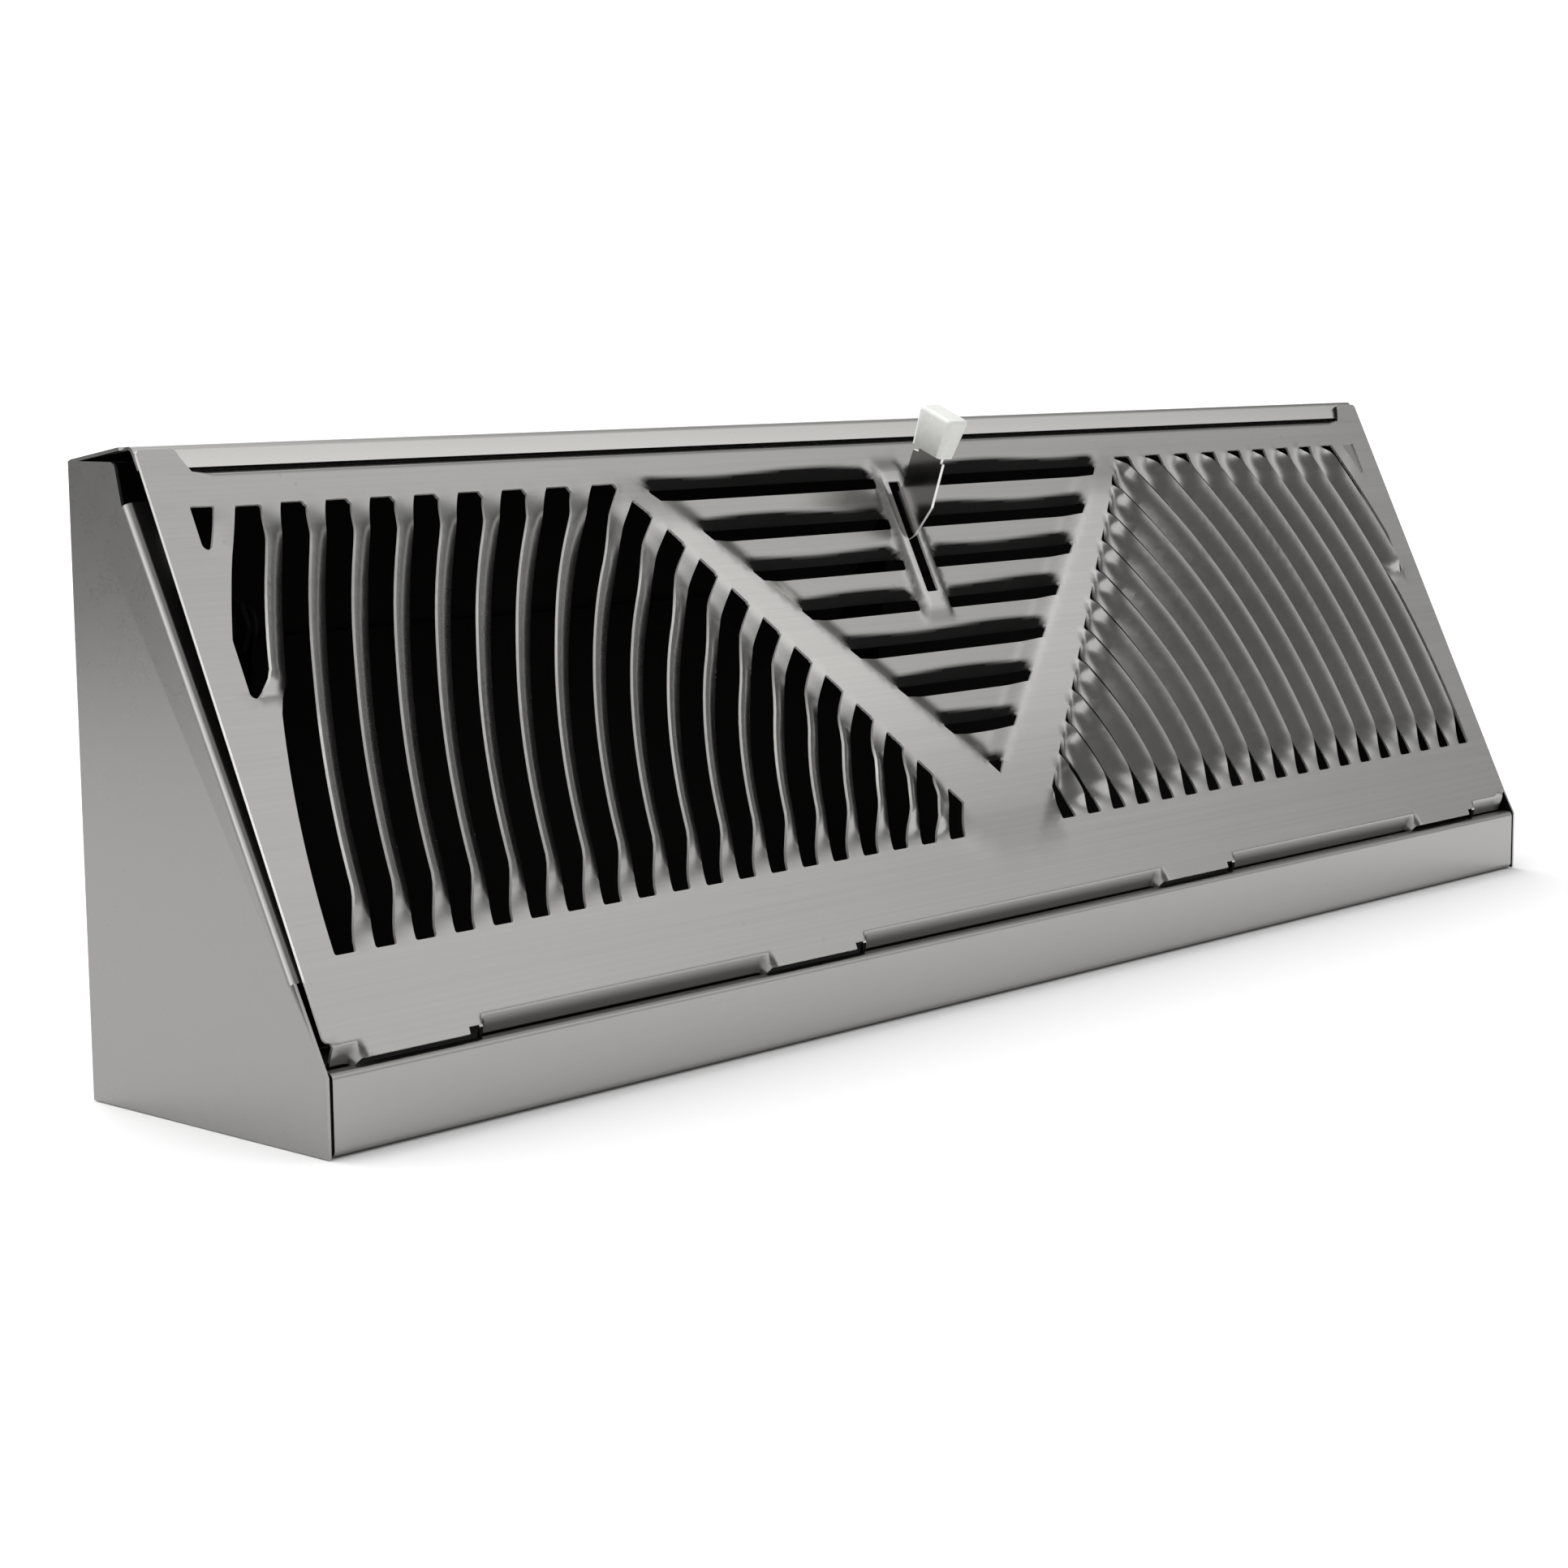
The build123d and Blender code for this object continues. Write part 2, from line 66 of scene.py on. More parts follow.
# ------------------------------------------------------------------ face dimensions, as in the CAD (mm)
DEPTH = 65.5
SHEET = 0.6
KNEE = 13.65
TAU = math.radians(25.5)
FACE_OFF = 0.6
FACE_HALF = 189.1
FACE_LOW, FACE_HIGH = 5.15, 107.5
TAB_TOP, TAB_X0, TAB_X1 = 112.35, 178.9, 180.6
JOGGLE, JOGGLE_HALF, JOGGLE_TOP = 1.45, 178.4, 112.2
FOOT_BEND = math.radians(45.0)
FOOT_WIDTH, FOOT_HALF = 9.5, 187.5
NOTCH_X = (-168.0, -68.0, 57.0, 160.0)
NOTCH_HALF, NOTCH_TAB, NOTCH_OPEN, NOTCH_WINDOW = 13.0, 2.1, 3.4, 3.6
ARC_V = 19.7
ROW_LOW, ROW_HIGH = 19.9, 101.6
SIDE_X = 181.6
SLOTS = 21
SLOT_R0, SLOT_PITCH, SLOT_WIDTH = 199.3, 8.92, 4.7
RIB_V, RIB_K = 10.35, 0.8847
MID_V, MID_K = 32.0, 1.075
MID_HIGH, MID_PITCH, MID_GAP, MID_COUNT = 101.4, 9.3, 4.25, 7
SIDE_HIGH, SIDE_LOW = 2.7, -0.2    # raised outer and inner edge of a side blade
SIDE_PULL, SIDE_TURN = 1.7, 1.1     # how far the inner and the outer edge are drawn inward
RAMP_TOP, RAMP_LOW = 6.0, 11.0
# formed ends of the side blades, left and right: run at the top row, run at the rib, run at the lower row,
# share of the rise reached at the top row and at the rib, and widening of the slots towards their upper ends
ENDS_LEFT = (9.0, 21.0, 11.0, 0.65, 1.0, 0.6)
ENDS_RIGHT = (3.6, 3.2, 9.5, 0.88, 0.95, 0.0)
TIP_R = (0.9, 2.0)                  # rounded lower tips of the two outer slots
MID_CUT = 2.6                       # slot height between the middle blades before forming
CURL, CURL_TURN = 4.4, math.radians(48.0)   # rolled-in lower edge of the middle blades
CURL_WAVE, CURL_LONG = 0.4, 9.0     # unevenness of that roll
BOSS_HALF, BOSS_LOW = 4.8, 69.3
LSLOT_HALF, LSLOT_LOW, LSLOT_HIGH = 1.85, 73.0, 98.3
RIB_H, BOSS_H = 1.45, 1.0
LIP_H = 0.0                         # turned-up left edge of the lever slot

ORIGIN = Vector((0.0, -FACE_OFF * math.cos(TAU) - DEPTH / 2.0, KNEE + FACE_OFF * math.sin(TAU)))
V_DIR = Vector((0.0, math.sin(TAU), math.cos(TAU)))
N_DIR = Vector((0.0, -math.cos(TAU), math.sin(TAU)))


def ease(t):
    t = min(1.0, max(0.0, t))
    return t * t * (3.0 - 2.0 * t)


def rib_x(v):
    return RIB_K * (v - RIB_V)


def mid_x(v):
    return MID_K * (v - MID_V)


def ro(k):
    return SLOT_R0 - SLOT_PITCH * k


def ri(k):
    return ro(k) - SLOT_WIDTH


def crossing(r):
    """Lower and upper angle at which a circle of radius r leaves a side sector."""
    lo = math.asin((ROW_LOW - ARC_V) / r)
    if r * math.cos(lo) > SIDE_X:
        lo = math.acos(SIDE_X / r)
    if r >= math.hypot(rib_x(ROW_HIGH), ROW_HIGH - ARC_V):
        hi = math.asin((ROW_HIGH - ARC_V) / r)
    else:
        a, b = 0.0, math.pi / 2.0
        for _ in range(50):
            m = (a + b) / 2.0
            if r * math.cos(m) > rib_x(ARC_V + r * math.sin(m)):
                a = m
            else:
                b = m
        hi = a
    return lo, hi


def stations(length):
    """Distances along a blade: close together on the formed ends, wider between."""
    low = min(RAMP_LOW + 1.5, length * 0.42)
    top = min(RAMP_TOP + 1.5, length * 0.42)
    out = [low * i / 7.0 for i in range(8)]
    mid = length - low - top
    n = max(1, int(math.ceil(mid / 3.2)))
    out += [low + mid * i / n for i in range(1, n)]
    out += [length - top * (6 - i) / 6.0 for i in range(7)]
    return out


def arc_points(r, lo, hi):
    length = r * (hi - lo)
    return [(r * math.cos(lo + s / r), ARC_V + r * math.sin(lo + s / r)) for s in stations(length)]


def line_points(p, q, step):
    d = math.hypot(q[0] - p[0], q[1] - p[1])
    n = max(1, int(round(d / step)))
    return [(p[0] + (q[0] - p[0]) * i / n, p[1] + (q[1] - p[1]) * i / n) for i in range(n + 1)]


def fillet(sides, rho, steps=5):
    """Closed outline from a list of point runs; the corners between runs are rounded."""
    runs = [np.array(s, float) for s in sides]
    rho = rho if isinstance(rho, (list, tuple)) else [rho] * len(runs)
    cut = []
    n = len(runs)
    for i in range(n):
        a, b = runs[i], runs[(i + 1) % n]
        da = a[-1] - a[max(0, len(a) - 3)]
        db = b[min(len(b) - 1, 2)] - b[0]
        da /= np.linalg.norm(da) + 1e-12
        db /= np.linalg.norm(db) + 1e-12
        inner = math.acos(max(-1.0, min(1.0, float(-da @ db))))
        d = rho[i] / math.tan(inner / 2.0)
        la = np.sum(np.linalg.norm(np.diff(a, axis=0), axis=1))
        lb = np.sum(np.linalg.norm(np.diff(b, axis=0), axis=1))
        d = min(d, 0.46 * la, 0.46 * lb)
        cut.append((d, inner, d * math.tan(inner / 2.0)))

    def trim(run, d0, d1):
        seg = np.linalg.norm(np.diff(run, axis=0), axis=1)
        s = np.concatenate([[0], np.cumsum(seg)])
        total = s[-1]
        keep = [i for i in range(len(run)) if d0 + 0.12 < s[i] < total - d1 - 0.12]
        def at(x):
            return np.array([np.interp(x, s, run[:, 0]), np.interp(x, s, run[:, 1])])
        return [at(d0)] + [run[i] for i in keep] + [at(total - d1)]

    trimmed = [trim(runs[i], cut[i - 1][0], cut[i][0]) for i in range(n)]
    out = []
    for i in range(n):
        out += trimmed[i]
        corner = runs[i][-1]
        A, B = trimmed[i][-1], trimmed[(i + 1) % n][0]
        d, inner, rad = cut[i]
        h = 4.0 / 3.0 * math.tan((math.pi - inner) / 4.0) * rad
        ta = (corner - A) / (np.linalg.norm(corner - A) + 1e-12)
        tb = (corner - B) / (np.linalg.norm(corner - B) + 1e-12)
        P1, P2 = A + ta * h, B + tb * h
        for j in range(1, steps):
            u = j / steps
            out.append(A * (1 - u) ** 3 + 3 * P1 * u * (1 - u) ** 2 + 3 * P2 * u * u * (1 - u) + B * u ** 3)
    res = []
    for p in out:
        if not res or math.hypot(p[0] - res[-1][0], p[1] - res[-1][1]) > 0.03:
            res.append((float(p[0]), float(p[1])))
    if math.hypot(res[0][0] - res[-1][0], res[0][1] - res[-1][1]) < 0.03:
        res.pop()
    return res


def side_slot(k):
    lo_o, hi_o = crossing(ro(k))
    lo_i, hi_i = crossing(ri(k))
    inner = arc_points(ri(k), lo_i, hi_i)[::-1]
    if k == 0:
        top = (SIDE_X, ROW_HIGH)
        tip = inner[-1]
        return fillet([line_points(top, inner[0], 1.5), inner, line_points(tip, top, 1.5)], [0.3, TIP_R[0], 0.3])
    outer = arc_points(ro(k), lo_o, hi_o)
    sides = [outer]
    rc = math.hypot(rib_x(ROW_HIGH), ROW_HIGH - ARC_V)
    corner = (rib_x(ROW_HIGH), ROW_HIGH)
    if ri(k) < rc - 0.3 and ro(k) > rc + 0.3:
        sides += [line_points(outer[-1], corner, 1.2), line_points(corner, inner[0], 1.2)]
    else:
        sides += [line_points(outer[-1], inner[0], 1.2)]
    sides += [inner]
    if k == 1:
        sides += [line_points(inner[-1], outer[0], 1.5)]
        return fillet(sides, [0.5, 0.5, TIP_R[1], 1.5])
    sides += [line_points(inner[-1], outer[0], 1.2)]
    return fillet(sides, 0.5)


def mirror(loop):
    return [(-x, v) for x, v in loop][::-1]


# ------------------------------------------------------------------ outlines
loops = []
for k in range(SLOTS):
    s = side_slot(k)
    loops += [s, mirror(s)]


def blade_top(k):
    return MID_HIGH - MID_PITCH * k - MID_GAP


def blade_low(k):
    return blade_top(k) - MID_PITCH + MID_CUT


for k in range(MID_COUNT):
    vu, vl = blade_low(k - 1), blade_top(k)
    if vu > BOSS_LOW + 1.0:
        a, b = (BOSS_HALF, vl), (mid_x(vl), vl)
        c, d = (mid_x(vu), vu), (BOSS_HALF, vu)
        g = fillet([line_points(a, b, 1.5), line_points(b, c, 1.0), line_points(c, d, 1.5), line_points(d, a, 1.0)], [0.45, 0.45, 0.7, 0.7])
        loops += [g, mirror(g)]
    else:
        a, b = (-mid_x(vl), vl), (mid_x(vl), vl)
        c, d = (mid_x(vu), vu), (-mid_x(vu), vu)
        loops.append(fillet([line_points(a, b, 1.5), line_points(b, c, 1.0), line_points(c, d, 1.5), line_points(d, a, 1.0)], 0.45))
vu = blade_low(MID_COUNT - 1)
loops.append(fillet([line_points((0, MID_V - 0.6), (mid_x(vu), vu), 0.8), line_points((mid_x(vu), vu), (-mid_x(vu), vu), 0.8),
                     line_points((-mid_x(vu), vu), (0, MID_V - 0.6), 0.8)], [0.5, 0.3, 0.3]))
loops.append(fillet([line_points((-LSLOT_HALF, LSLOT_LOW), (LSLOT_HALF, LSLOT_LOW), 1.2), line_points((LSLOT_HALF, LSLOT_LOW), (LSLOT_HALF, LSLOT_HIGH), 1.8),
                     line_points((LSLOT_HALF, LSLOT_HIGH), (-LSLOT_HALF, LSLOT_HIGH), 1.2), line_points((-LSLOT_HALF, LSLOT_HIGH), (-LSLOT_HALF, LSLOT_LOW), 1.8)], 0.35))

BEND_R = 1.1
BEND_U = FACE_LOW + 0.8 * math.tan(FOOT_BEND / 2.0)
BEND_LEN = BEND_R * FOOT_BEND
FOOT_U = BEND_U - BEND_LEN - (FOOT_WIDTH - 0.8 * math.tan(FOOT_BEND / 2.0))
bend_rows = [BEND_U + 1.4, BEND_U + 0.5] + [BEND_U - BEND_LEN * i / 6.0 for i in range(7)]
jog_rows = [FACE_HIGH - 1.6, FACE_HIGH - 0.7] + [FACE_HIGH - 0.3 + 1.7 * i / 7.0 for i in range(8)]


def rows(x, a, b, extra):
    """Points up or down the line at x, with the bend rows kept."""
    lo, hi = min(a, b), max(a, b)
    vals = sorted(set([lo, hi] + [r for r in extra if lo + 0.05 < r < hi - 0.05] +
                      [lo + (hi - lo) * i / max(1, round((hi - lo) / 3.0)) for i in range(1, int(round((hi - lo) / 3.0)))]))
    keep = [vals[0]]
    for v in vals[1:-1]:
        if v - keep[-1] > 0.12 and vals[-1] - v > 0.12:
            keep.append(v)
    keep.append(vals[-1])
    pts = [(x, v) for v in keep]
    return pts if a < b else pts[::-1]


outer = []


def add(points):
    for p in points:
        if not outer or math.hypot(p[0] - outer[-1][0], p[1] - outer[-1][1]) > 0.02:
            outer.append((float(p[0]), float(p[1])))


RIGHT_RUN, LEFT_RUN = 4.4, 2.4       # formed ends of each flange length


def flange_low_edge(x):
    """Lower edge of the flat pattern, and how far the flange is bent there (0 to 1)."""
    low, turn = FOOT_U, 1.0
    for nx in NOTCH_X:
        x0, x1 = nx - NOTCH_HALF, nx + NOTCH_HALF - 0.6
        if x0 <= x <= x1:
            return (NOTCH_TAB if x < x1 - NOTCH_WINDOW + 0.6 else NOTCH_OPEN), 0.0
        if x0 - RIGHT_RUN < x < x0:
            d = x0 - x
            return NOTCH_TAB + (FOOT_U - NOTCH_TAB) * ease((d - 0.9) / 3.4), ease(d / 3.0)
        if x1 < x < x1 + LEFT_RUN:
            d = x - x1
            return NOTCH_OPEN + (FOOT_U - NOTCH_OPEN) * ease((d - 0.25) / 2.0), ease(d / 1.7)
    return low, turn


x_at = -FOOT_HALF
for nx in NOTCH_X:
    x0, x1 = nx - NOTCH_HALF, nx + NOTCH_HALF
    add(line_points((x_at, FOOT_U), (x0 - RIGHT_RUN, FOOT_U), 4.0))
    for j in range(1, 12):
        x = x0 - RIGHT_RUN + RIGHT_RUN * j / 12.0
        add([(x, flange_low_edge(x)[0])])
    add(line_points((x0, NOTCH_TAB), (x1 - NOTCH_WINDOW, NOTCH_TAB), 2.6))
    add([(x1 - NOTCH_WINDOW + 0.12, NOTCH_OPEN - 0.08), (x1 - NOTCH_WINDOW + 0.35, NOTCH_OPEN)])
    add(line_points((x1 - NOTCH_WINDOW + 0.4, NOTCH_OPEN), (x1 - 0.6, NOTCH_OPEN), 0.9))
    for j in range(1, 9):
        x = x1 - 0.6 + LEFT_RUN * j / 9.0
        add([(x, flange_low_edge(x)[0])])
    x_at = x1 - 0.6 + LEFT_RUN
add(line_points((x_at, FOOT_U), (FOOT_HALF, FOOT_U), 4.0))
add(rows(FOOT_HALF, FOOT_U, 4.6, bend_rows))
add([(FOOT_HALF + 0.25, BEND_U + 0.1), (FACE_HALF - 0.5, BEND_U + 0.35), (FACE_HALF - 0.1, BEND_U + 0.8)])
add(line_points((FACE_HALF, BEND_U + 1.3), (FACE_HALF, TAB_TOP - 0.9), 3.5))
add([(FACE_HALF - 0.15, TAB_TOP - 0.35), (FACE_HALF - 0.6, TAB_TOP)])
add(line_points((FACE_HALF - 0.7, TAB_TOP), (TAB_X1 + 0.9, TAB_TOP), 2.5))
add([(TAB_X1 + 0.35, TAB_TOP - 0.2), (TAB_X1 + 0.05, TAB_TOP - 0.75), (TAB_X1 - 0.25, TAB_TOP - 1.6), (TAB_X0 + 0.55, FACE_HIGH + 1.7), (TAB_X0 + 0.15, FACE_HIGH + 1.0),
     (TAB_X0 - 0.1, FACE_HIGH + 0.55), (JOGGLE_HALF + 0.12, FACE_HIGH + 0.5)])
add(rows(JOGGLE_HALF, FACE_HIGH + 0.8, JOGGLE_TOP, jog_rows))
add(line_points((JOGGLE_HALF, JOGGLE_TOP), (-JOGGLE_HALF, JOGGLE_TOP), 4.0))
half_top = [p for p in outer if p[0] > JOGGLE_HALF - 0.01 and p[1] > FACE_HIGH]
add(rows(-JOGGLE_HALF, JOGGLE_TOP, FACE_HIGH + 0.8, jog_rows))
add([(-JOGGLE_HALF - 0.12, FACE_HIGH + 0.5), (-TAB_X0 + 0.1, FACE_HIGH + 0.55), (-TAB_X0 - 0.15, FACE_HIGH + 1.0), (-TAB_X0 - 0.55, FACE_HIGH + 1.7),
     (-TAB_X1 + 0.25, TAB_TOP - 1.6), (-TAB_X1 - 0.05, TAB_TOP - 0.75), (-TAB_X1 - 0.35, TAB_TOP - 0.2)])
add(line_points((-TAB_X1 - 0.9, TAB_TOP), (-FACE_HALF + 0.7, TAB_TOP), 2.5))
add([(-FACE_HALF + 0.6, TAB_TOP), (-FACE_HALF + 0.15, TAB_TOP - 0.35)])
add(line_points((-FACE_HALF, TAB_TOP - 0.9), (-FACE_HALF, BEND_U + 1.3), 3.5))
add([(-FACE_HALF + 0.1, BEND_U + 0.8), (-FACE_HALF + 0.5, BEND_U + 0.35), (-FOOT_HALF - 0.25, BEND_U + 0.1)])
add(rows(-FOOT_HALF, 4.6, FOOT_U, bend_rows)[:-1])

# ------------------------------------------------------------------ points inside the sheet
points, edges = [], []


def add_loop(loop):
    base = len(points)
    points.extend(loop)
    n = len(loop)
    edges.extend((base + i, base + (i + 1) % n) for i in range(n))


add_loop(outer)
for loop in loops:
    add_loop(loop)
fixed = len(points)

extra = []
for k in range(SLOTS - 1):
    r_out, r_in = ri(k), ro(k + 1)
    for t in (0.14, 0.3, 0.46, 0.6, 0.72, 0.86):
        r = r_in + (r_out - r_in) * t
        lo, hi = crossing(r)
        row = arc_points(r, lo, hi)
        extra += row + [(-x, v) for x, v in row]
for k in range(-1, MID_COUNT):
    vt, vl = blade_top(k), blade_low(k)
    for j in range(1, 9):
        v = vl + CURL * j / 8.0 + (0.2 if j == 8 else 0.0)
        n = max(6, int(2 * mid_x(v) / 1.5))
        row = [(mid_x(v) * (2.0 * i / n - 1.0), v) for i in range(n + 1)]
        base = fixed + len(extra)
        edges += [(base + i, base + i + 1) for i in range(n)
                  if v < BOSS_LOW - 3.0 or min(abs(row[i][0]), abs(row[i + 1][0])) > BOSS_HALF + 0.3]
        extra += row
    if k >= 0:
        for v in (vl + CURL + 1.1, vt - 0.6):
            n = max(6, int(2 * mid_x(v) / 1.5))
            extra += [(mid_x(v) * (2.0 * i / n - 1.0), v) for i in range(n + 1)]
for x in (-2.25, -2.65, -3.0, -3.35, -3.7, -4.1):
    extra += [(x, 77.0 + 1.1 * i) for i in range(20)]
flange_cols = set(round(FOOT_HALF * (2.0 * i / 94 - 1.0), 3) for i in range(95))
for nx in NOTCH_X:
    x0, x1 = nx - NOTCH_HALF, nx + NOTCH_HALF - 0.6
    flange_cols |= set(round(x0 - RIGHT_RUN * j / 8.0, 3) for j in range(-1, 10))
    flange_cols |= set(round(x1 + LEFT_RUN * j / 7.0, 3) for j in range(-2, 9))
cols = []
for x in sorted(flange_cols):
    if abs(x) < FOOT_HALF - 0.3 and (not cols or x - cols[-1] > 0.2):
        cols.append(x)
flange_rows = bend_rows + [3.6, 2.9, 2.0, 1.0, 0.0, FOOT_U + 3.0, FOOT_U + 1.5]
at_flange = {}
for j, row in enumerate(flange_rows):
    for i, x in enumerate(cols):
        if row > flange_low_edge(x)[0] + 0.18:
            at_flange[i, j] = fixed + len(extra)
            extra.append((x, row))
for (i, j), q in at_flange.items():
    if (i + 1, j) in at_flange:
        edges.append((q, at_flange[i + 1, j]))
    if (i + 1, j) in at_flange and (i, j + 1) in at_flange and (i + 1, j + 1) in at_flange:
        edges.append((q, at_flange[i + 1, j + 1]))
for row in jog_rows + [110.5]:
    n = 89
    extra += [(JOGGLE_HALF * (2.0 * i / n - 1.0), row) for i in range(1, n)]

near = KDTree(len(points) + len(extra))
for i, p in enumerate(points + extra):
    near.insert((p[0], p[1], 0.0), i)
near.balance()


def d_mid(x, v):
    return (math.sqrt(x * x + 1.0) - 1.0 - mid_x(v)) / math.hypot(1.0, MID_K)


def d_side(x, v):
    return (rib_x(v) - abs(x)) / math.hypot(1.0, RIB_K)


free = []
for iv in range(0, 78):
    v = 6.4 + iv * 1.35
    for ix in range(-143, 144):
        x = ix * 1.35 + (0.675 if iv % 2 else 0.0)
        rib = d_mid(x, v) > -0.5 and d_side(x, v) > -1.5 and 10.0 < v < 104.6
        boss = abs(x) < BOSS_HALF + 1.0 and 66.0 < v < 104.6
        if not (rib or boss):
            if iv % 3 or ix % 3:
                continue
        if abs(x) > FACE_HALF - 0.8 or v > FACE_HIGH - 0.8:
            continue
        dist = near.find((x, v, 0.0))[2]
        if dist < (0.85 if (rib or boss) else 1.3):
            continue
        free.append((x, v))
points += extra + free

cv, ce, cf, _, _, _ = delaunay_2d_cdt([Vector(p) for p in points], edges, [], 0, 1e-5)
P = np.array([(p.x, p.y) for p in cv])
T = np.array([list(f) for f in cf], int)
C = P[T].mean(axis=1)


def inside(poly, pts):
    poly = np.array(poly)
    res = np.zeros(len(pts), bool)
    box = (pts[:, 0] > poly[:, 0].min()) & (pts[:, 0] < poly[:, 0].max()) & (pts[:, 1] > poly[:, 1].min()) & (pts[:, 1] < poly[:, 1].max())
    idx = np.nonzero(box)[0]
    q = pts[idx]
    r = np.zeros(len(q), bool)
    x0, y0 = poly[-1]
    for x1, y1 in poly:
        hit = (y1 > q[:, 1]) != (y0 > q[:, 1])
        with np.errstate(divide="ignore", invalid="ignore"):
            xs = (x0 - x1) * (q[:, 1] - y1) / (y0 - y1) + x1
        r ^= hit & (q[:, 0] < xs)
        x0, y0 = x1, y1
    res[idx] = r
    return res


keep = inside(outer, C)
for loop in loops:
    keep &= ~inside(loop, C)
T = T[keep]


# ------------------------------------------------------------------ pressed shape
R_CORNER = math.hypot(rib_x(ROW_HIGH), ROW_HIGH - ARC_V)


def emboss(x, v):
    """Height of the raised V bands and of the boss round the lever slot."""
    d, ds = d_mid(x, v), d_side(x, v)
    h = 1.0 - ease(-d / 5.5)
    h *= 1.0 - ease(-ds / (8.0 if x < 0 else 4.0))
    h *= (1.0 - ease((v - 90.0) / 14.0)) * ease((v - 12.0) / 16.0)
    h *= RIB_H
    b = (1.0 - ease((abs(x) - 3.0) / 2.6)) * ease((v - BOSS_LOW + 3.6) / 4.5) * (1.0 - ease((v - 100.0) / 4.5))
    lip = 0.0
    if -3.9 < x < -1.7:
        lip = LIP_H * ease((x + 3.9) / 0.55) * ease((v - 79.5) / 2.5) * (1.0 - ease((v - 95.0) / 2.5))
    return max(h, BOSS_H * b) + lip


def shape(x, u):
    """(x, v, n) of the front of the sheet for a flat point, and the painted shade (0 to 1) laid on its folded-away
    parts.
    """
    if u > FACE_HIGH - 0.4 and abs(x) < JOGGLE_HALF + 0.06:
        return x, u, -JOGGLE * ease((u - FACE_HIGH + 0.3) / 1.7), 0.0
    if u < BEND_U + 0.01:
        turn = flange_low_edge(x)[1] * FOOT_BEND
        s = BEND_U - u
        th = min(s / BEND_R, turn)
        v = BEND_U - BEND_R * math.sin(th)
        n = -BEND_R * (1.0 - math.cos(th))
        more = max(0.0, s - BEND_R * turn)
        # painted shade: the turned-in flange darkens as it bends back
        return x, v - more * math.cos(turn), n - more * math.sin(turn), 0.55 * flange_low_edge(x)[1] * ease(s / 2.2)
    base = emboss(x, u) if u > 10.0 else 0.0
    ax = abs(x)
    r = math.hypot(ax, u - ARC_V)
    if d_side(x, u) < 1e-6 and ROW_LOW - 1e-6 < u < ROW_HIGH + 1e-6 and ax < SIDE_X + 1e-6:
        k = int(math.floor((SLOT_R0 - r) / SLOT_PITCH + 1e-6))
        for kk in (k - 1, k, k + 1):
            if 0 <= kk < SLOTS - 1:
                r_out, r_in = ri(kk), ro(kk + 1)
                a = math.atan2(u - ARC_V, ax)
                reach = r_out if kk > 1 else max(r_out, min(SIDE_X / math.cos(a), ro(kk) - 0.05))
                if r_in - 0.02 <= r <= reach + 0.02:
                    lo, hi = crossing(r)
                    if kk < 2:
                        tip = crossing(r_out)[0]
                        lo = max(lo, tip + (3.0, 6.6)[kk] / r)
                    length = r * (hi - lo)
                    up = r * (hi - a)
                    run_top, run_rib, run_low, share_top, share_rib, flare = ENDS_LEFT if x < 0 else ENDS_RIGHT
                    top, share = (run_top, share_top) if r > R_CORNER else (run_rib, share_rib)
                    low = run_low if kk > 1 else 5.5
                    w = ease(r * (a - lo) / min(low, length * 0.4)) * ease(up / min(top, length * 0.4))
                    w *= share + (1.0 - share) * ease(up / 40.0)
                    w *= min(1.0, length / 20.0) * ((0.25 if x < 0 else 0.1) if kk == 0 else 1.0)
                    t = min(1.0, max(0.0, (r - r_in) / (r_out - r_in)))
                    # towards the upper end of a right-hand blade only the outer edge still stands up
                    tt = t ** (1.0 + 3.0 * (1.0 - ease(up / min(11.0, length * 0.5)))) if x > 0 else t
                    n = w * (SIDE_LOW + (SIDE_HIGH - SIDE_LOW) * (0.3 * tt + 0.7 * math.sin(math.pi / 2.0 * tt)))
                    rr = r - w * (SIDE_PULL + (SIDE_TURN - SIDE_PULL) * t)
                    rr -= flare * t * ease(1.0 - up / 30.0) * min(1.0, length / 30.0)
                    sx = 1.0 if x > 0 else -1.0
                    return sx * rr * math.cos(a), ARC_V + rr * math.sin(a), base + n, 0.0
    if d_mid(x, u) < 0.0 and MID_V + 1.0 < u < blade_low(-1) + CURL + 0.01:
        for k in range(-1, MID_COUNT):
            vl = blade_low(k)
            if vl - 0.02 <= u <= vl + CURL:
                run = 2.0 * mid_x(u)
                w = ease((mid_x(u) - ax + 0.3) / min(6.0, run * 0.3)) * min(1.0, run / 22.0)
                if u > BOSS_LOW - 1.0:
                    w *= ease((ax - BOSS_HALF + 0.3) / 4.0)
                if w < 1e-3:
                    break
                turn = CURL_TURN * w
                far = vl + CURL - u
                wave = CURL_WAVE * w * math.sin(x / CURL_LONG + 1.9 * k)
                down, deep = 0.0, 0.0
                for i in range(12):
                    th = turn * (max(0.0, (i + 0.5) / 12.0 * far + wave) / CURL) ** 2
                    down += far / 12.0 * math.cos(th)
                    deep += far / 12.0 * math.sin(th)
                th = turn * (max(0.0, far + wave) / CURL) ** 2
                # painted shade: the rolled-in lower edge of a middle blade darkens as it turns in
                return x, vl + CURL - down, base - deep, ease((math.degrees(th) - 1.5) / 9.0)
    return x, u, base, 0.0


used = np.unique(T)
remap = {int(o): i for i, o in enumerate(used)}
F = [[remap[int(i)] for i in t] for t in T]
front = [shape(float(P[o][0]), float(P[o][1])) for o in used]
W = np.array([list(ORIGIN + Vector((x, 0, 0)) + V_DIR * v + N_DIR * n) for x, v, n, _ in front])
FA = np.array(F)
nrm = np.cross(W[FA[:, 1]] - W[FA[:, 0]], W[FA[:, 2]] - W[FA[:, 0]])
flip = nrm @ np.array(N_DIR) < 0
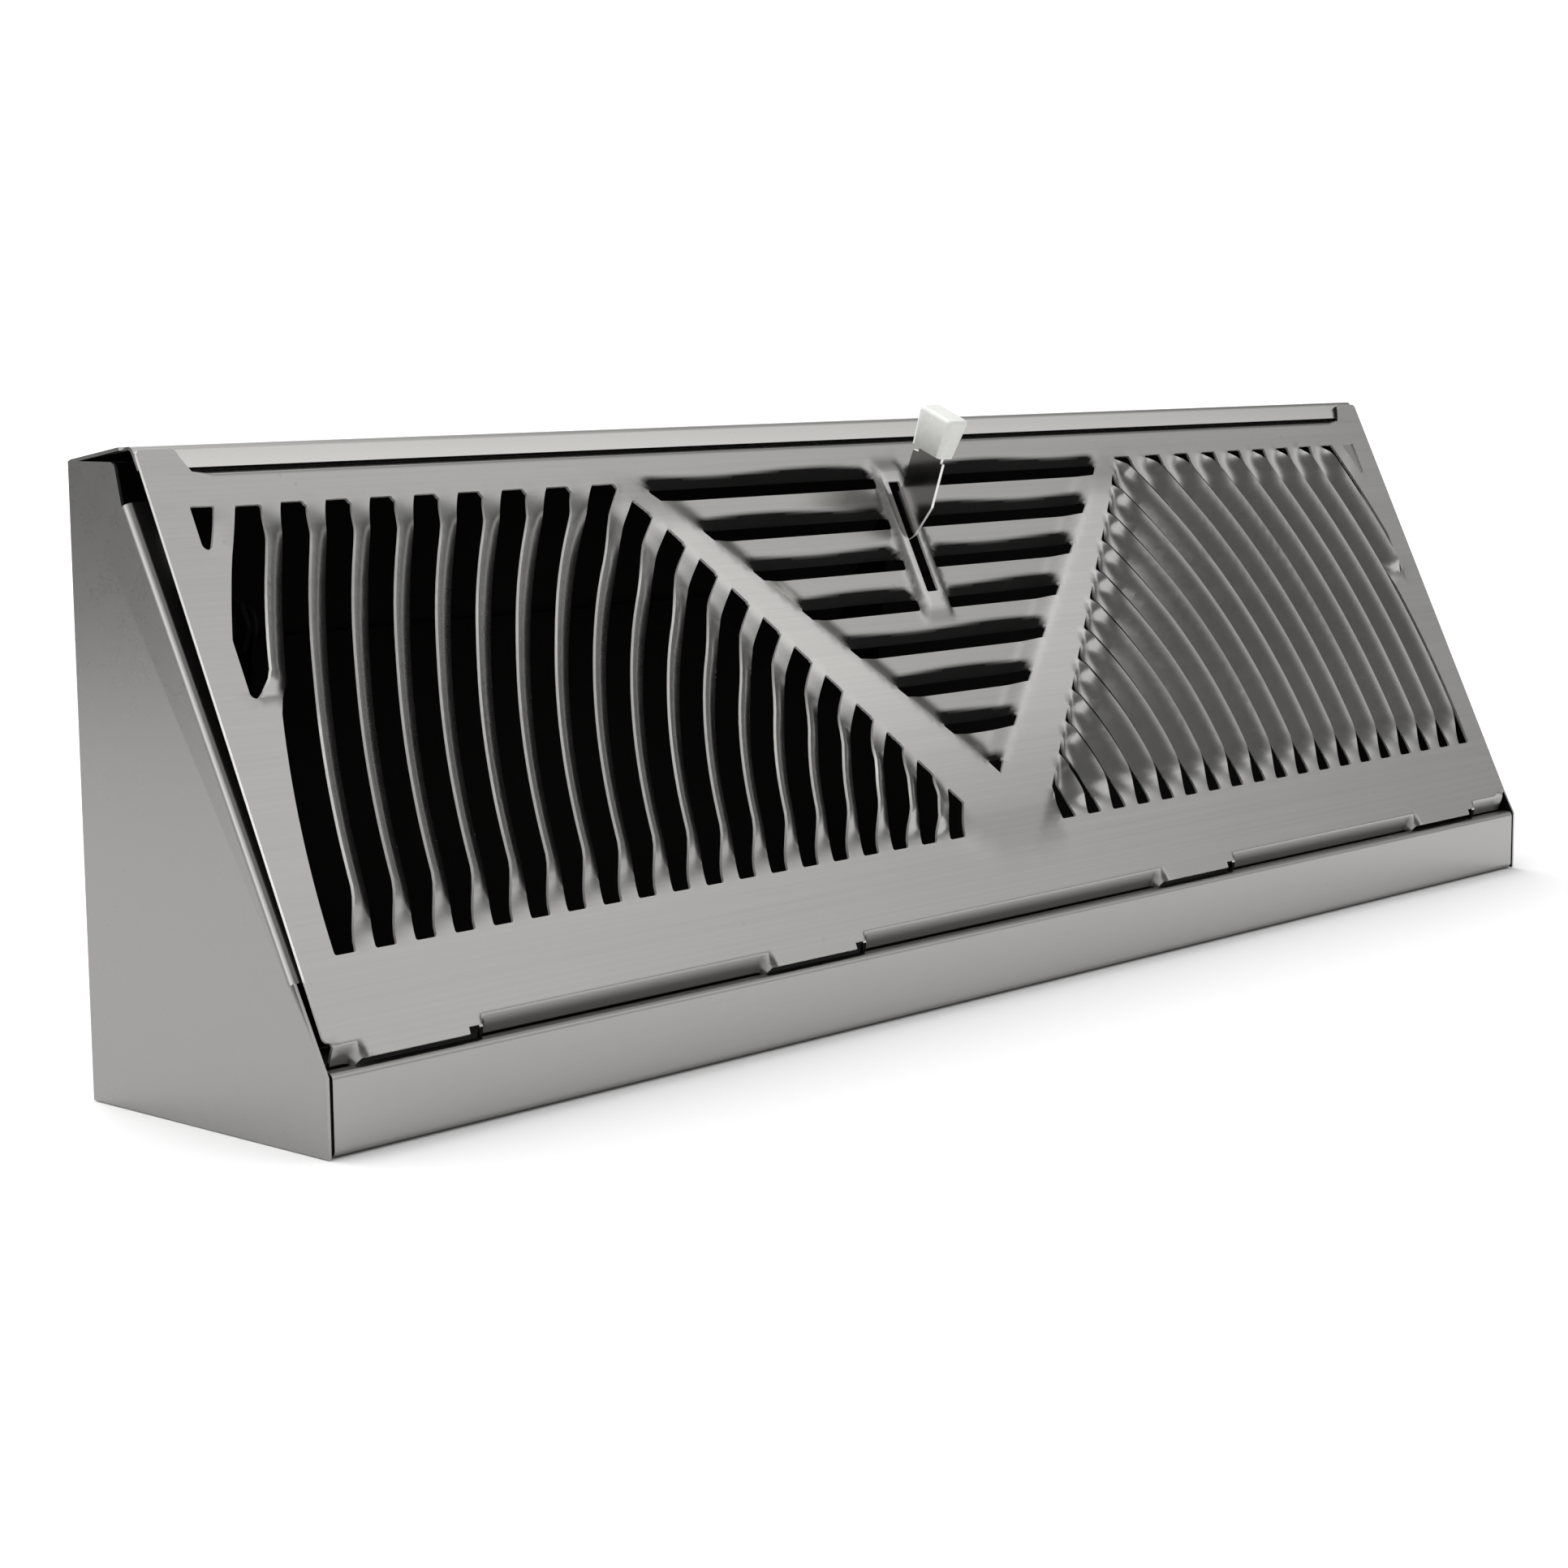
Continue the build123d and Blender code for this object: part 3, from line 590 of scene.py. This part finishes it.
# the flange turns away from the face's normal, so the winding is judged in the flat outline
flat2 = P[used]
area = ((flat2[FA[:, 1], 0] - flat2[FA[:, 0], 0]) * (flat2[FA[:, 2], 1] - flat2[FA[:, 0], 1]) -
        (flat2[FA[:, 2], 0] - flat2[FA[:, 0], 0]) * (flat2[FA[:, 1], 1] - flat2[FA[:, 0], 1]))
for i in np.nonzero(area < 0)[0]:
    FA[i] = FA[i][::-1]
nrm = np.cross(W[FA[:, 1]] - W[FA[:, 0]], W[FA[:, 2]] - W[FA[:, 0]])
vn = np.zeros_like(W)
for j in range(3):
    np.add.at(vn, FA[:, j], nrm)
vn /= np.linalg.norm(vn, axis=1)[:, None] + 1e-12
back = W - vn * SHEET
n0 = len(W)
verts = np.concatenate([W, back]) * MM
faces = [tuple(int(i) for i in f) for f in FA] + [tuple(int(i) + n0 for i in f[::-1]) for f in FA]
count = {}
for f in FA:
    for a, b in ((f[0], f[1]), (f[1], f[2]), (f[2], f[0])):
        key = (min(a, b), max(a, b))
        count[key] = None if key in count else (int(a), int(b))
rim = [e for e in count.values() if e is not None]
n_main = len(faces)
faces += [(b, a, a + n0, b + n0) for a, b in rim]

mesh = bpy.data.meshes.new("face_sheet")
mesh.from_pydata(verts.tolist(), [], faces)
mesh.update()
mesh.polygons.foreach_set("use_smooth", [True] * len(faces))


def rim_mat(a, b):
    """Cut edges take the brighter edge copy, a painted highlight; on the turned-in flange, in other recesses, beside
    the corner tabs and at the ends of the notches they take the near-black rear material, painted shade.
    """
    if min(flat2[a][1], flat2[b][1]) > FACE_HIGH + 0.2 and max(abs(flat2[a][0]), abs(flat2[b][0])) < TAB_X1 + 0.4:
        return 2
    if front[a][2] < -0.4 and front[b][2] < -0.4:
        return 2
    return 2 if max(flat2[a][1], flat2[b][1]) < NOTCH_OPEN + 0.01 and min(flat2[a][1], flat2[b][1]) < NOTCH_TAB - 0.05 else 1


# painted shade: faces rolled far in and the whole back take the near-black rear material; rim_mat sorts the cut edges
mesh.polygons.foreach_set("material_index", [2 if min(front[i][3] for i in f) > 0.93 else 0 for f in FA] + [2] * (n_main // 2) + [rim_mat(a, b) for a, b in rim])
mesh.set_sharp_from_angle(angle=math.radians(48))
# painted shade per vertex, read by the face materials
fold_shade = mesh.attributes.new("fold_shade", "FLOAT", "POINT")
fold_shade.data.foreach_set("value", [f[3] for f in front] * 2)
# painted highlight per vertex on the raised bands and the boss, growing towards the top, read by the face materials
rise = mesh.attributes.new("rise", "FLOAT", "POINT")
rise.data.foreach_set("value", [min(1.0, emboss(float(q[0]), float(q[1])) / RIB_H) * ease((float(q[1]) - 22.0) / 38.0)
                              * (1.0 - ease(-d_side(float(q[0]), float(q[1])) / 3.5)) for q in flat2] * 2)
face = bpy.data.objects.new("face_sheet", mesh)
scene.collection.objects.link(face)
bev = face.modifiers.new("edge", "BEVEL")
bev.width = 0.00017
bev.segments = 1
bev.limit_method = "ANGLE"
bev.angle_limit = math.radians(55)
bev.harden_normals = True
bev.use_clamp_overlap = True
# painted highlight: the eased edges take the brighter edge copy
bev.material = 1


# ------------------------------------------------------------------ materials
def new_mat(name):
    m = bpy.data.materials.new(name)
    m.use_nodes = True
    nt = m.node_tree
    b = nt.nodes["Principled BSDF"]
    return m, nt, b


def link(nt, a, b):
    nt.links.new(a, b)


def math_node(nt, op, a, b=None, c=None):
    n = nt.nodes.new("ShaderNodeMath")
    n.operation = op
    for i, v in enumerate((a, b, c)):
        if v is None:
            continue
        if isinstance(v, (int, float)):
            n.inputs[i].default_value = v
        else:
            link(nt, v, n.inputs[i])
    return n.outputs[0]


def noise(nt, vec, scale, detail=3.0, rough=0.55):
    n = nt.nodes.new("ShaderNodeTexNoise")
    n.inputs["Scale"].default_value = scale
    n.inputs["Detail"].default_value = detail
    n.inputs["Roughness"].default_value = rough
    link(nt, vec, n.inputs["Vector"])
    return n.outputs["Fac"]


def mapped(nt, scale, rot=(0, 0, 0)):
    tc = nt.nodes.new("ShaderNodeTexCoord")
    mp = nt.nodes.new("ShaderNodeMapping")
    mp.inputs["Scale"].default_value = scale
    mp.inputs["Rotation"].default_value = rot
    link(nt, tc.outputs["Object"], mp.inputs["Vector"])
    return mp.outputs["Vector"]


def ramp(nt, fac, stops):
    r = nt.nodes.new("ShaderNodeValToRGB")
    link(nt, fac, r.inputs["Fac"])
    while len(r.color_ramp.elements) < len(stops):
        r.color_ramp.elements.new(0.5)
    for el, (pos, col) in zip(r.color_ramp.elements, stops):
        el.position = pos
        el.color = (*col, 1.0)
    return r.outputs["Color"]


def mix_col(nt, fac, a, b, mode="MIX"):
    n = nt.nodes.new("ShaderNodeMix")
    n.data_type = "RGBA"
    n.blend_type = mode
    for sock, v in ((n.inputs[0], fac), (n.inputs[6], a), (n.inputs[7], b)):
        if isinstance(v, (int, float)):
            sock.default_value = v
        elif isinstance(v, tuple):
            sock.default_value = (*v, 1.0)
        else:
            link(nt, v, sock)
    return n.outputs[2]


def grey(g, warm=0.012):
    return (g * (1 + warm), g, g * (1 - 2.4 * warm))


# painted highlight: how much lighter the raised bands and the boss are made
BAND_HIGHLIGHT = 1.4                            # raised bands against the rest of the face


def brushed(name, tone, rough, metal, streak_axis="X", streak=0.05, speck=0.0, aniso=0.35, bump=0.02, painted_light=False):
    """Satin sheet metal: fine streaks along one axis, cloudy tone and small specks; optionally a painted highlight on
    the raised bands and painted shade on the rolled-in edges and the flange.
    """
    m, nt, b = new_mat(name)
    fine = {"X": (9.0, 1500.0, 1500.0), "Y": (1500.0, 12.0, 1500.0), "Z": (1500.0, 1500.0, 12.0)}[streak_axis]
    long = {"X": (2.0, 260.0, 260.0), "Y": (260.0, 3.0, 260.0), "Z": (260.0, 260.0, 3.0)}[streak_axis]
    s1 = noise(nt, mapped(nt, fine), 1.0, 3.0, 0.6)
    s2 = noise(nt, mapped(nt, long), 1.0, 3.0, 0.55)
    cloud = noise(nt, mapped(nt, (14.0, 22.0, 22.0)), 1.0, 2.0, 0.5)
    tex = math_node(nt, "ADD", math_node(nt, "MULTIPLY", s1, 0.55), math_node(nt, "MULTIPLY", s2, 0.45))
    tex = math_node(nt, "ADD", math_node(nt, "MULTIPLY", tex, 0.75), math_node(nt, "MULTIPLY", cloud, 0.25))
    lo, hi = tone * (1 - streak * 3.2), tone * (1 + streak * 3.2)
    col = ramp(nt, tex, [(0.25, grey(lo)), (0.5, grey(tone)), (0.75, grey(hi))])
    if speck > 0:
        v = nt.nodes.new("ShaderNodeTexVoronoi")
        v.inputs["Scale"].default_value = 1.0
        link(nt, mapped(nt, (260.0, 260.0, 260.0)), v.inputs["Vector"])
        dot = math_node(nt, "LESS_THAN", v.outputs["Distance"], 0.13)
        which = math_node(nt, "GREATER_THAN", noise(nt, mapped(nt, (90.0, 90.0, 90.0)), 1.0, 1.0), 0.62)
        col = mix_col(nt, math_node(nt, "MULTIPLY", math_node(nt, "MULTIPLY", dot, which), speck), col, grey(tone * 0.35))
    if painted_light:
        # painted highlight on the raised bands and the boss
        up = nt.nodes.new("ShaderNodeAttribute")
        up.attribute_name = "rise"
        col = mix_col(nt, up.outputs["Fac"], col, mix_col(nt, 1.0, col, (BAND_HIGHLIGHT, BAND_HIGHLIGHT, BAND_HIGHLIGHT), "MULTIPLY"))
        # painted shade on the rolled-in edges and the flange
        at = nt.nodes.new("ShaderNodeAttribute")
        at.attribute_name = "fold_shade"
        col = mix_col(nt, at.outputs["Fac"], col, grey(tone * 0.03))
    link(nt, col, b.inputs["Base Color"])
    link(nt, math_node(nt, "ADD", math_node(nt, "MULTIPLY", tex, 0.16), rough - 0.08), b.inputs["Roughness"])
    b.inputs["Metallic"].default_value = metal
    b.inputs["Anisotropic"].default_value = aniso
    bp = nt.nodes.new("ShaderNodeBump")
    bp.inputs["Strength"].default_value = bump
    bp.inputs["Distance"].default_value = 0.0002
    link(nt, tex, bp.inputs["Height"])
    link(nt, bp.outputs["Normal"], b.inputs["Normal"])
    return m


def dull(name, tone, rough=0.75, scale=160.0, amount=0.35):
    m, nt, b = new_mat(name)
    n = noise(nt, mapped(nt, (scale, scale, scale)), 1.0, 4.0)
    big = noise(nt, mapped(nt, (25.0, 25.0, 25.0)), 1.0, 2.0)
    fac = math_node(nt, "ADD", math_node(nt, "MULTIPLY", n, 0.5), math_node(nt, "MULTIPLY", big, 0.5))
    link(nt, ramp(nt, fac, [(0.3, grey(tone * (1 - amount))), (0.7, grey(tone * (1 + amount)))]), b.inputs["Base Color"])
    link(nt, math_node(nt, "ADD", math_node(nt, "MULTIPLY", n, 0.2), rough - 0.1), b.inputs["Roughness"])
    b.inputs["Specular IOR Level"].default_value = 0.06
    bp = nt.nodes.new("ShaderNodeBump")
    bp.inputs["Strength"].default_value = 0.12
    bp.inputs["Distance"].default_value = 0.0002
    link(nt, n, bp.inputs["Height"])
    link(nt, bp.outputs["Normal"], b.inputs["Normal"])
    return m


face_mat = brushed("face_brushed", 0.38, 0.25, 1.0, "X", 0.035, 0.1, painted_light=True)
# painted highlight: a brighter copy of the face finish for cut and eased edges
edge_highlight_mat = brushed("cut_edge_highlight", 0.80, 0.42, 0.7, "X", 0.03, 0.0, 0.0, 0.03, painted_light=True)
# painted shade: near-black for the back of the face sheet, its deeply rolled-in faces and its recessed cut edges
face_back_shade = dull("face_rear_shade", 0.008)
house_mat = brushed("housing_satin", 0.365, 0.30, 1.0, "X", 0.008, 0.04)
# painted highlight: a lighter copy of the housing finish for the top lip
lip_highlight_mat = brushed("housing_lip_highlight", 0.66, 0.28, 1.0, "X", 0.012, 0.04)
# painted shade: a darker copy of the housing finish for the outer end panels
end_shade_mat = brushed("housing_end_shade", 0.285, 0.29, 1.0, "X", 0.008, 0.0)
# painted highlight: a brighter copy of the housing finish for its eased edges
house_edge_highlight = brushed("housing_edge_highlight", 0.52, 0.40, 0.8, "X", 0.03, 0.0, 0.0, 0.03)
# painted shade: near-black for the housing's inside, the damper, the lever's inner end and the small inside parts
inner_shade_mat = dull("housing_inside_shade", 0.004)
damper_shade_mat = dull("damper_shaded_black", 0.004)
lever_mat = brushed("lever_satin", 0.46, 0.15, 1.0, "Z", 0.02, 0.2, 0.2, 0.03)
rivet_shade_mat = dull("rivet_shaded_black", 0.012, 0.6)
bracket_shade_mat = dull("bracket_shaded_black", 0.008, 0.7)
washer_shade_mat = dull("washer_shaded_black", 0.006, 0.7)

cap_mat, nt, b = new_mat("cap_white")
grain = noise(nt, mapped(nt, (900.0, 900.0, 900.0)), 1.0, 3.0)
cloud = noise(nt, mapped(nt, (120.0, 120.0, 120.0)), 1.0, 2.0)
fac = math_node(nt, "ADD", math_node(nt, "MULTIPLY", grain, 0.6), math_node(nt, "MULTIPLY", cloud, 0.4))
link(nt, ramp(nt, fac, [(0.3, (0.74, 0.75, 0.71)), (0.7, (0.84, 0.85, 0.82))]), b.inputs["Base Color"])
link(nt, math_node(nt, "ADD", math_node(nt, "MULTIPLY", grain, 0.15), 0.38), b.inputs["Roughness"])
bp = nt.nodes.new("ShaderNodeBump")
bp.inputs["Strength"].default_value = 0.15
bp.inputs["Distance"].default_value = 0.0001
link(nt, grain, bp.inputs["Height"])
link(nt, bp.outputs["Normal"], b.inputs["Normal"])

for m in (face_mat, edge_highlight_mat, face_back_shade):
    face.data.materials.append(m)
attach(face, "housing")
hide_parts("face_grille")


# ------------------------------------------------------------------ other pieces, from the CAD shapes
def refined(node, name, mats, width, body, choose=None, angle=35.0, segments=2, cut=False):
    """The CAD shape with its flat facets merged and its sharp edges eased."""
    data = nodes[node].data.copy()
    data.name = name
    data.materials.clear()
    bm = bmesh.new()
    bm.from_mesh(data)
    bmesh.ops.remove_doubles(bm, verts=bm.verts, dist=2e-6)
    bmesh.ops.dissolve_limit(bm, angle_limit=math.radians(0.6), verts=bm.verts, edges=bm.edges, delimit={"NORMAL"})
    # split just behind the face plane so the painted shade inside can start there
    if cut:
        bmesh.ops.bisect_plane(bm, geom=bm.verts[:] + bm.edges[:] + bm.faces[:], plane_co=(ORIGIN - N_DIR) * MM, plane_no=N_DIR)
    for f in bm.faces:
        f.smooth = True
        f.material_index = choose(f) if choose else 0
    bm.to_mesh(data)
    bm.free()
    for m in mats:
        data.materials.append(m)
    data.set_sharp_from_angle(angle=math.radians(angle))
    o = bpy.data.objects.new(name, data)
    scene.collection.objects.link(o)
    if width > 0:
        bv = o.modifiers.new("edge", "BEVEL")
        bv.width = width
        bv.segments = segments
        bv.limit_method = "ANGLE"
        bv.angle_limit = math.radians(angle)
        bv.harden_normals = True
        bv.use_clamp_overlap = True
        # painted highlight: the eased edges take the second, brighter material (the housing's edge copy)
        if len(mats) > 1 and not cut:
            bv.material = 1
    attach(o, body)
    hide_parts(node)
    return o


# Housing faces: 3 the top lip, lighter copy as painted highlight; 4 the outer end panels, darker copy as painted
# shade; 2 the inside faces, near-black as painted shade.
def house_side(f):
    c, n = f.calc_center_median() / MM, f.normal
    if n.dot(N_DIR) > 0.9 and c.z > 105.0 and abs(c.x) < 185.0:
        return 3
    if abs(c.x) > 189.7 and n.x * c.x < -150:
        return 2
    if abs(n.x) > 0.9 and abs(c.x) > 189.7:
        return 4
    if n.y < -0.9 and c.y > 31.0:
        return 2
    if n.z > 0.9 and c.z < 2.0:
        return 2
    if n.z < -0.8 and c.z > 105.0:
        return 2
    if n.y > 0.5 and c.y < 20.0 and abs(c.x) < 189.0 and c.z > 0.7:
        return 2
    return 0


housing = refined("back_housing", "housing_shell", [house_mat, house_edge_highlight, inner_shade_mat, lip_highlight_mat, end_shade_mat], 0.00012, "housing", house_side)
# Lever faces: behind the face plane near-black as painted shade, the narrow edges the brighter edge copy as painted
# highlight.
def lever_side(f):
    c = f.calc_center_median() / MM - ORIGIN
    if c.dot(N_DIR) < -1.0:
        return 2
    return 1 if abs(f.normal.x) < 0.5 else 0


lever = refined("damper_lever", "lever_arm", [lever_mat, edge_highlight_mat, inner_shade_mat], 0.00010, "damper", lever_side, cut=True)
cap = refined("lever_cap", "lever_grip", [cap_mat], 0.0, "damper", None, 40.0)
blade = refined("damper_blade", "damper_panel", [damper_shade_mat], 0.0001, "damper")

# painted shade: the small inside parts take near-black materials
for node, mat in (("lever_rivets", rivet_shade_mat), ("left_pivot_bracket", bracket_shade_mat), ("right_pivot_bracket", bracket_shade_mat),
                  ("left_pivot_pin", rivet_shade_mat), ("right_pivot_pin", rivet_shade_mat), ("left_friction_washer", washer_shade_mat),
                  ("right_friction_washer", washer_shade_mat), ("bracket_rivets", rivet_shade_mat)):
    o = nodes[node]
    if len(o.data.materials) == 0:
        o.data.materials.append(mat)
    for i in range(len(o.material_slots)):
        o.material_slots[i].material = mat

# ------------------------------------------------------------------ floor and light
bm = bmesh.new()
fv = [bm.verts.new((0.95 * math.cos(i * math.pi / 48.0), 0.95 * math.sin(i * math.pi / 48.0), -0.0002)) for i in range(96)]
bm.faces.new(fv)
fm = bpy.data.meshes.new("floor")
bm.to_mesh(fm)
bm.free()
floor = bpy.data.objects.new("floor", fm)
scene.collection.objects.link(floor)
floor_mat, nt, b = new_mat("floor_pale")
b.inputs["Base Color"].default_value = (0.9, 0.9, 0.9, 1)
b.inputs["Roughness"].default_value = 0.9
b.inputs["Specular IOR Level"].default_value = 0.1
floor.data.materials.append(floor_mat)


world = bpy.data.worlds.new("studio")
scene.world = world
world.use_nodes = True
wn = world.node_tree
bg = wn.nodes["Background"]
wtc = wn.nodes.new("ShaderNodeTexCoord")


def direction(az, el):
    """Unit vector; azimuth 0 is straight in front of the register, 90 to its right."""
    a, e = math.radians(az), math.radians(el)
    return (math.sin(a) * math.cos(e), -math.cos(a) * math.cos(e), math.sin(e))


def lobe(az, el, tight, amount):
    d = wn.nodes.new("ShaderNodeVectorMath")
    d.operation = "DOT_PRODUCT"
    wn.links.new(wtc.outputs["Generated"], d.inputs[0])
    d.inputs[1].default_value = direction(az, el)
    e = math_node(wn, "EXPONENT", math_node(wn, "MULTIPLY", math_node(wn, "SUBTRACT", d.outputs["Value"], 1.0), tight))
    return math_node(wn, "MULTIPLY", e, amount)


BASE = 0.06
LIGHT = [            # azimuth, elevation, tightness, amount
    (46.0, 30.0, 13.0, 1.12),
    (180.0, 58.0, 8.0, 4.5),
    (0.0, 85.0, 8.0, 0.9),
    (-5.0, 22.0, 4.0, 0.08),
    (47.0, -12.0, 8.0, 0.3),
    (-125.0, 8.0, 5.0, 0.25),
    (-105.0, 5.0, 40.0, 2.5),
    (-100.0, 35.0, 12.0, 1.7),
    (-70.0, 2.0, 6.0, 0.4),
]
total = math_node(wn, "MINIMUM", lobe(134.0, 0.0, 24.0, 6.0), 1.3)      # white screen behind the register
total = math_node(wn, "ADD", total, BASE)
for spec in LIGHT:
    total = math_node(wn, "ADD", total, lobe(*spec))
total = math_node(wn, "MAXIMUM", total, 0.03)
wn.links.new(total, bg.inputs["Color"])
bg.inputs["Strength"].default_value = 1.0

scene.view_settings.view_transform = "Standard"
scene.view_settings.look = "None"

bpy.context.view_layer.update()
